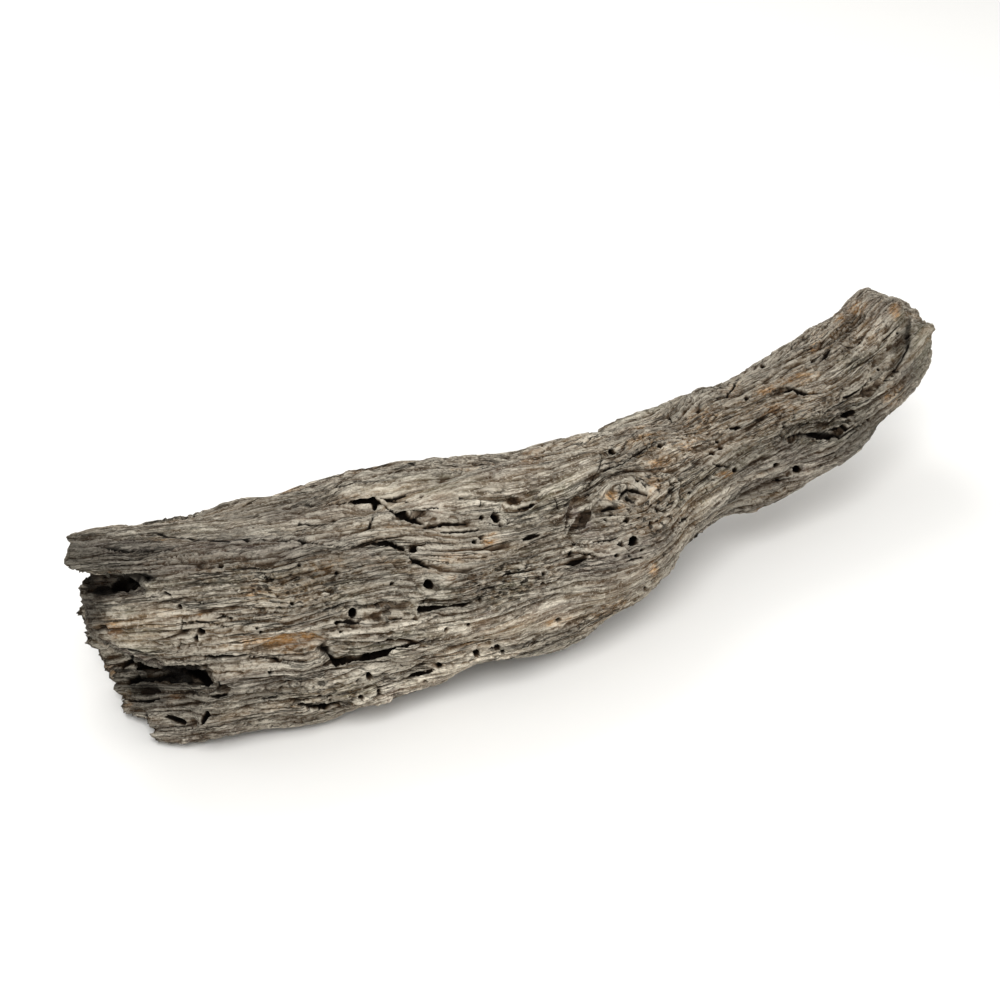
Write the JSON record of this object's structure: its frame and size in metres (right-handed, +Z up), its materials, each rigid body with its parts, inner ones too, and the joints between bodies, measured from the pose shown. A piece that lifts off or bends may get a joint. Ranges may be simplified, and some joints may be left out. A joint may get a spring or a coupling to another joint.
{
  "type": "piece of driftwood",
  "caption": "Weathered, grooved length of a log with a split, splintered broken end, a thick belly and a slimmer arm that rises to a worn two-lobed tip.",
  "frame": {"origin": "centre of the bounding box's underside, on the surface that the piece lies on", "axes": "+X along the log from the broken end to the worn tip, +Y away from the broad worn face, +Z up"},
  "size_m": [0.3138, 0.0904, 0.0594],
  "materials": {
    "weathered_wood": "dry, silver-grey, furrowed and unfinished"
  },
  "bodies": {
    "root": {"driftwood": "weathered_wood"}
  },
  "joints": []
}
